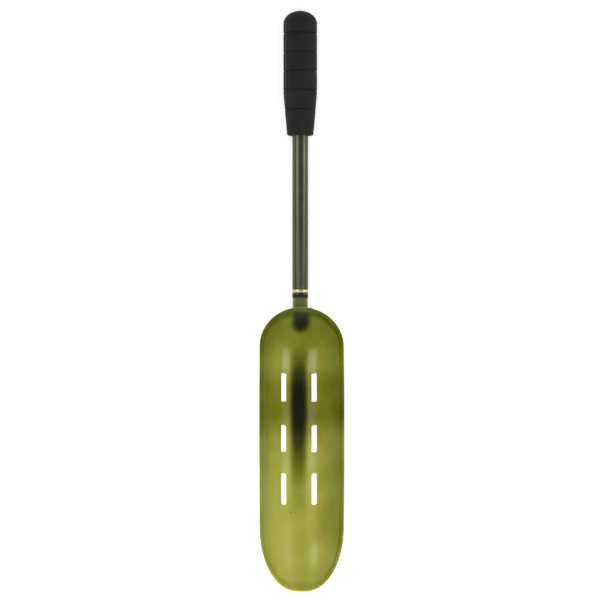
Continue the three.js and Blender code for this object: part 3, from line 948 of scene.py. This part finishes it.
# %% Columns across the bowl
SLOT_OFFSET, SLOT_WIDTH = 15.1 * MM, 5 * MM
SLOT_SLANT = 1.1 * MM
MIDDLE = [0, 1.85 * MM, 3.7 * MM, LAND, 7.9 * MM, 10.25 * MM]
LAND_COLUMN = MIDDLE.index(LAND)
SLOT_COLUMNS = [SLOT_OFFSET + SLOT_WIDTH * share for share in (-0.5, -0.17, 0.17, 0.5)]
SIDE_STEPS = 16
SLOT_FIRST, SLOT_LAST = len(MIDDLE), len(MIDDLE) + len(SLOT_COLUMNS) - 1
COLUMNS = SLOT_LAST + SIDE_STEPS
SAME_ROW = 0.2 * MM
NUDGE = 1e-5


def column_angles(half_width):
    """How far round the side arc each column lies, on a skin of this half-width."""
    reach = half_width - LAND
    inner = [math.asin(max(0.0, across - LAND) / reach * math.sin(SIDE_ANGLE))
             for across in MIDDLE + SLOT_COLUMNS]
    return inner + [inner[-1] + (SIDE_ANGLE - inner[-1]) * i / SIDE_STEPS
                    for i in range(1, SIDE_STEPS + 1)]


def skin_surface(depth):
    """A function from (row, column) to a point on the skin at this depth in the wall."""
    rows = inset(depth)
    full_width = HALF_WIDTH - depth * WALL
    angles = column_angles(full_width)

    def place(row, column):
        along, width = rows[row]
        step = abs(column)
        land = LAND * width / full_width
        flat = land * (MIDDLE[step] / LAND if step < LAND_COLUMN else 1.0)
        across = flat + (width - land) * math.sin(angles[step]) / math.sin(SIDE_ANGLE)
        slot_start = any(abs(along - low) < SAME_ROW for low, _ in SLOT_ROWS)
        if slot_start and SLOT_FIRST <= step <= SLOT_LAST:
            along -= SLOT_SLANT * (across - SLOT_OFFSET) / SLOT_WIDTH
        slope = (keel_height(along + NUDGE) - keel_height(along - NUDGE)) / (2 * NUDGE)
        floor = keel_height(along) + depth * WALL * math.hypot(1, slope)
        rise = (1 - math.cos(angles[step])) / (1 - math.cos(SIDE_ANGLE))
        height = floor + (rim_height(along) - floor) * rise
        return Vector((math.copysign(across, column), BOWL_TOP - along, height))
    return place


# %% [markdown]
# Both skins are grids in one bmesh. Bridging the matching open loops makes the level rim
# and the walls of the six slots. Bevels then round the slots' corners, the rim and the
# slots' lips, because a moulding has no knife edges.

# %% Bowl skins
def in_slot(row, column):
    """Whether a face whose middle is at this row and column lies in a drain slot."""
    low, high = int(row), int(row) + 1
    along = (STATIONS[low][0] + STATIONS[high][0]) / 2
    across = SLOT_FIRST < abs(column) < SLOT_LAST
    return across and any(start < along < end for start, end in SLOT_ROWS)


def add_skin(bm, depth, slots=True):
    """Adds one skin to the bmesh as a shaped grid and returns its boundary edges."""
    rows = len(STATIONS) - 1
    grid = bmesh.ops.create_grid(bm, x_segments=2 * COLUMNS, y_segments=rows, size=1)["verts"]
    faces = {face for vert in grid for face in vert.link_faces}

    def cell(co):
        return (co.y + 1) / 2 * rows, co.x * COLUMNS

    if slots:
        holes = [face for face in faces if in_slot(*cell(face.calc_center_median()))]
        bmesh.ops.delete(bm, geom=holes, context="FACES")
        grid = [vert for vert in grid if vert.is_valid]
    surface = skin_surface(depth)
    for vert in grid:
        row, column = cell(vert.co)
        vert.co = surface(round(row), round(column))
    return [edge for edge in bm.edges if edge.is_boundary and edge.verts[0] in set(grid)]


def edge_loops(edges):
    """Splits edges into connected loops, each with the middle of its vertices."""
    left, loops = set(edges), []
    while left:
        loop, grow = set(), [left.pop()]
        while grow:
            edge = grow.pop()
            loop.add(edge)
            for vert in edge.verts:
                near = {e for e in vert.link_edges if e in left}
                left -= near
                grow += near
        places = [vert.co for edge in loop for vert in edge.verts]
        loops.append((sum(places, Vector()) / len(places), list(loop)))
    return loops


def bowl_shell():
    """Both skins, joined at the rim and through the slots."""
    bm = bmesh.new()
    outer = edge_loops(add_skin(bm, 0))
    inner = edge_loops(add_skin(bm, 1))
    for middle, loop in outer:
        partner = min(inner, key=lambda other: (other[0] - middle).length)
        bmesh.ops.bridge_loops(bm, edges=loop + partner[1])
    bmesh.ops.recalc_face_normals(bm, faces=bm.faces)
    return bm


def bevel(bm, edges, offset, segments):
    bmesh.ops.bevel(bm, geom=edges, offset=offset, segments=segments, profile=0.5,
                    affect="EDGES", material=-1, clamp_overlap=True)


def sharp_edges(bm, above):
    """Edges whose two faces meet at more than this angle, in degrees."""
    limit = math.radians(above)
    return [edge for edge in bm.edges if edge.is_manifold and edge.calc_face_angle() > limit]


RIM_ROUND = 0.6 * MM
SLOT_CORNER = 0.5 * MM
SLOT_END_CORNER = 1.5 * MM
SLOT_LIP = 0.25 * MM
SLOT_ANGLE, RIM_ANGLE = 50, 28
UPRIGHT = 0.9
LIP_HALF_WIDTH, LIP_TOP, RIM_BOTTOM = 20 * MM, 15 * MM, 25 * MM

bowl = bowl_shell()
upright = [edge for edge in sharp_edges(bowl, SLOT_ANGLE)
           if abs((edge.verts[0].co - edge.verts[1].co).normalized().z) > UPRIGHT]
last_end = BOWL_TOP - SLOT_ROWS[-1][1] + 1 * MM
round_ends = [edge for edge in upright if edge.verts[0].co.y < last_end]
bevel(bowl, round_ends, SLOT_END_CORNER, 5)
others = [edge for edge in upright if edge.is_valid and edge not in round_ends]
bevel(bowl, others, SLOT_CORNER, 3)
lips = [edge for edge in sharp_edges(bowl, SLOT_ANGLE)
        if abs(edge.verts[0].co.x) < LIP_HALF_WIDTH and edge.verts[0].co.z < LIP_TOP]
bevel(bowl, lips, SLOT_LIP, 2)
rims = [edge for edge in sharp_edges(bowl, RIM_ANGLE) if edge.verts[0].co.z > RIM_BOTTOM]
bevel(bowl, rims, RIM_ROUND, 3)
print("bowl", len(bowl.faces), "faces,", len(round_ends), "round slot ends,",
      len(lips), "lip edges")

# %% [markdown]
# ## Neck and boss
# The neck is turned and runs on under the bowl as a boss round the stud's head. Its top is
# cut away half-way through the bowl's wall, so nothing shows inside the bowl, and the two
# are joined. The stud's socket and the small gate mark left by the mould come last.

# %% Neck, socket and gate mark
NECK_RADIUS = 7.55 * MM
NECK_EDGE = 0.5 * MM
NECK_FLARE = 8.8 * MM
FLARE_LENGTH = 4 * MM
FLARE_START = 1 * MM
FLARE_SWELL = 0.35 * MM
BOSS_RADIUS = 7.8 * MM
BOSS_REACH = 23.5 * MM
BOSS_ROUND = 4 * MM
SOCKET_GAP = 0.25 * MM
SOCKET_RUN = 1 * MM
ROUND_STEPS = 64
GATE_RADIUS, GATE_OFFSET, GATE_PROUD = 0.9 * MM, 9.4 * MM, 1.3 * MM
GATE_LENGTH, GATE_TAPER = 3 * MM, 0.8


def neck_blank():
    """The turned neck and boss, before the bowl's hollow is cut out of them."""
    flare = BOWL_TOP - FLARE_START
    boss_end = BOWL_TOP - BOSS_REACH
    points = [(0, NECK_MOUTH)]
    points += arc((NECK_RADIUS - NECK_EDGE, NECK_MOUTH - NECK_EDGE), (NECK_EDGE, NECK_EDGE),
                  90, 0, 5)
    points += [(NECK_RADIUS, flare + FLARE_LENGTH),
               (NECK_RADIUS + FLARE_SWELL, flare + FLARE_LENGTH / 2),
               (NECK_FLARE, flare), (BOSS_RADIUS, flare - FLARE_LENGTH)]
    points += arc((BOSS_RADIUS - BOSS_ROUND, boss_end + BOSS_ROUND), (BOSS_ROUND, -BOSS_ROUND),
                  0, 90, 8)
    return spun([*points, (0, boss_end)], steps=ROUND_STEPS)


def hollow():
    """The bowl's inside from half-way through its wall up to a lid well above the rim."""
    bm = bmesh.new()
    add_skin(bm, 0.5, slots=False)
    lid = bmesh.ops.extrude_face_region(bm, geom=bm.faces[:])["geom"]
    for vert in (item for item in lid if isinstance(item, bmesh.types.BMVert)):
        vert.co.z = 2 * RIM_NECK
    bmesh.ops.recalc_face_normals(bm, faces=bm.faces)
    return bm


def socket():
    """The hole that the stud fills, a gap larger all round, and open at the neck's mouth."""
    head = hex_head(HEAD_FLATS + 2 * SOCKET_GAP, stud_low - SOCKET_GAP,
                    stud_low + HEAD_THICKNESS + SOCKET_GAP)
    radius = THREAD_RADIUS + SOCKET_GAP
    start, end = stud_low + SOCKET_RUN, NECK_MOUTH + SOCKET_RUN
    shank = spun([(0, start), (radius, start), (radius, end), (0, end)], steps=ROUND_STEPS)
    return combined(shank, head, "UNION")


def gate_mark():
    """The stub left where the plastic flowed in, on one side of the neck end."""
    bm = bmesh.new()
    edge = BOWL_TOP - NECK_ARC * (1 - math.sqrt(1 - (GATE_OFFSET / HALF_WIDTH) ** 2))
    bmesh.ops.create_cone(bm, cap_ends=True, segments=24, depth=GATE_LENGTH,
                          radius1=GATE_RADIUS, radius2=GATE_RADIUS * GATE_TAPER)
    bmesh.ops.rotate(bm, verts=bm.verts, cent=(0, 0, 0),
                     matrix=Matrix.Rotation(math.radians(-90), 3, "X"))
    middle = edge + GATE_PROUD - GATE_LENGTH / 2
    bmesh.ops.translate(bm, verts=bm.verts, vec=(GATE_OFFSET, middle, RIM_NECK - 2 * GATE_RADIUS))
    return bm


neck = combined(neck_blank(), hollow(), "DIFFERENCE")
bowl = combined(bowl, neck, "UNION")
bowl = combined(bowl, gate_mark(), "UNION")
bowl = combined(bowl, socket(), "DIFFERENCE")
moulding = make_piece("scoop_moulding", bowl, PLASTIC, "scoop", ["scoop"],
                      sharp_above=40)

# %% [markdown]
# ## Stage
# The floor is plain and pale. Two large soft lights hang left and right with a dark gap
# between them, which is what draws two bright strips along anything glossy. The world is
# pale at the horizon, so upright sides stay lit, and dim overhead. The camera looks down,
# a little from the tip and from the left.

# %% Floor
FLOOR_GAP = 0.0002
floor_bm = bmesh.new()
bmesh.ops.create_grid(floor_bm, x_segments=1, y_segments=1, size=4)
floor = new_object("floor", floor_bm)
floor.location.z = cad_bounds[0][Z] - FLOOR_GAP
floor_material, _, floor_shader = new_material("pale_floor", Roughness=0.9,
                                               Specular_IOR_Level=0.1)
floor_shader.inputs["Base Color"].default_value = (0.93, 0.93, 0.93, 1)
floor_shader.inputs["Emission Color"].default_value = (1, 1, 1, 1)
floor_shader.inputs["Emission Strength"].default_value = 0.55
floor.data.materials.append(floor_material)

# %% Lights
def aim(lamp, place, target):
    """Stands a light at place, shining at target."""
    lamp.location = place
    lamp.rotation_euler = (target - place).to_track_quat("-Z", "Y").to_euler()


def soft_light(name, place, size, power, fade, target=None):
    """A softbox that fades out near its edges over a share of its size. Faces down by default."""
    data = bpy.data.lights.new(name, "AREA")
    data.shape = "RECTANGLE"
    data.size, data.size_y = size
    data.energy = power
    data.use_nodes = True
    tree = data.node_tree
    sides = split(tree, add_node(tree, "ShaderNodeNewGeometry").outputs["Parametric"])
    glow = 1.0
    for side, share in zip(sides, fade):
        middle = maths(tree, "ABSOLUTE", maths(tree, "SUBTRACT", side, 0.5))
        glow = maths(tree, "MULTIPLY", smooth_step(tree, middle, 0.5, 0.5 - share), glow)
    tree.links.new(glow, tree.nodes["Emission"].inputs["Strength"])
    lamp = new_object(name, data)
    lamp.visible_camera = False
    aim(lamp, Vector(place), target or Vector((place[0], place[1], 0)))
    return lamp


BOX_HEIGHT = 1.4
soft_light("left_softbox", (-0.55, -0.52, BOX_HEIGHT), (0.92, 1.20), 8, (0.10, 0.2))
soft_light("right_softbox", (0.88, -0.52, BOX_HEIGHT), (1.0, 1.20), 8.5, (0.12, 0.2))

# %% [markdown]
# Two panels stand beside the handle and wrap a softer highlight round the tube and the
# grip. They are linked to every piece but the bowl, which would show them as stray
# streaks. Two dim lights over the grip's end draw long pale streaks in the rising tip. A
# last overhead light only fills: mirror-like rays don't see it, so the plastic's colour
# comes up and the dark gap between the softboxes stays dark.

# %% Panels and fill
HANDLE = Vector((0, 0.12, AXIS))
lit_by_panels = bpy.data.collections.new("lit_by_panels")
for piece in bpy.context.scene.objects:
    if piece.type == "MESH" and piece.name not in (moulding.name, floor.name):
        lit_by_panels.objects.link(piece)
for panel in (soft_light("left_panel", (-1.15, 0.30, 0.95), (0.95, 0.75), 12, (0.3, 0.2), HANDLE),
              soft_light("right_panel", (1.42, 0.30, 0.95), (0.75, 0.75), 13, (0.3, 0.2), HANDLE)):
    panel.light_linking.receiver_collection = lit_by_panels
soft_light("left_tip_streak", (-0.50, 0.95, 1.3), (0.7, 1.1), 4.8, (0.25, 0.25))
soft_light("right_tip_streak", (0.82, 0.95, 1.3), (0.6, 1.1), 3.2, (0.25, 0.25))
fill = soft_light("overhead_fill", (0.0, -0.25, 2.4), (2.4, 2.4), 23, (0.05, 0.05))
fill.visible_glossy = False

# %% World
HAZE_TOP, HORIZON_GLOW, SKY_GLOW = 0.5, 0.35, 0.05
world = bpy.data.worlds.new("studio")
world.use_nodes = True
sky_tree = world.node_tree
background = sky_tree.nodes["Background"]
background.inputs["Color"].default_value = (1, 1, 1, 1)
height = split(sky_tree, add_node(sky_tree, "ShaderNodeTexCoord").outputs["Generated"])[Z]
haze = smooth_step(sky_tree, height, HAZE_TOP, 0.0, HORIZON_GLOW)
sky_tree.links.new(maths(sky_tree, "ADD", haze, SKY_GLOW), background.inputs["Strength"])
bpy.context.scene.world = world

# %% Camera
DISTANCE = 12
TILT_TO_TIP = math.radians(4.6)
TILT_TO_LEFT = math.radians(5.5)
VIEW_WIDTH = 0.5966
AIM = Vector((-0.00025, 0.00104, AXIS))
camera_data = bpy.data.cameras.new("camera")
camera_data.angle = 2 * math.atan(VIEW_WIDTH / 2 / DISTANCE)
camera = new_object("camera", camera_data)
backward = Vector((-math.sin(TILT_TO_LEFT), -math.sin(TILT_TO_TIP), 1)).normalized()
camera.location = AIM + backward * DISTANCE
right = Vector((0, 1, 0)).cross(backward).normalized()
upward = backward.cross(right)
camera.rotation_euler = Matrix((right, upward, backward)).transposed().to_euler()
bpy.context.scene.camera = camera
bpy.context.scene.view_settings.view_transform = "Standard"
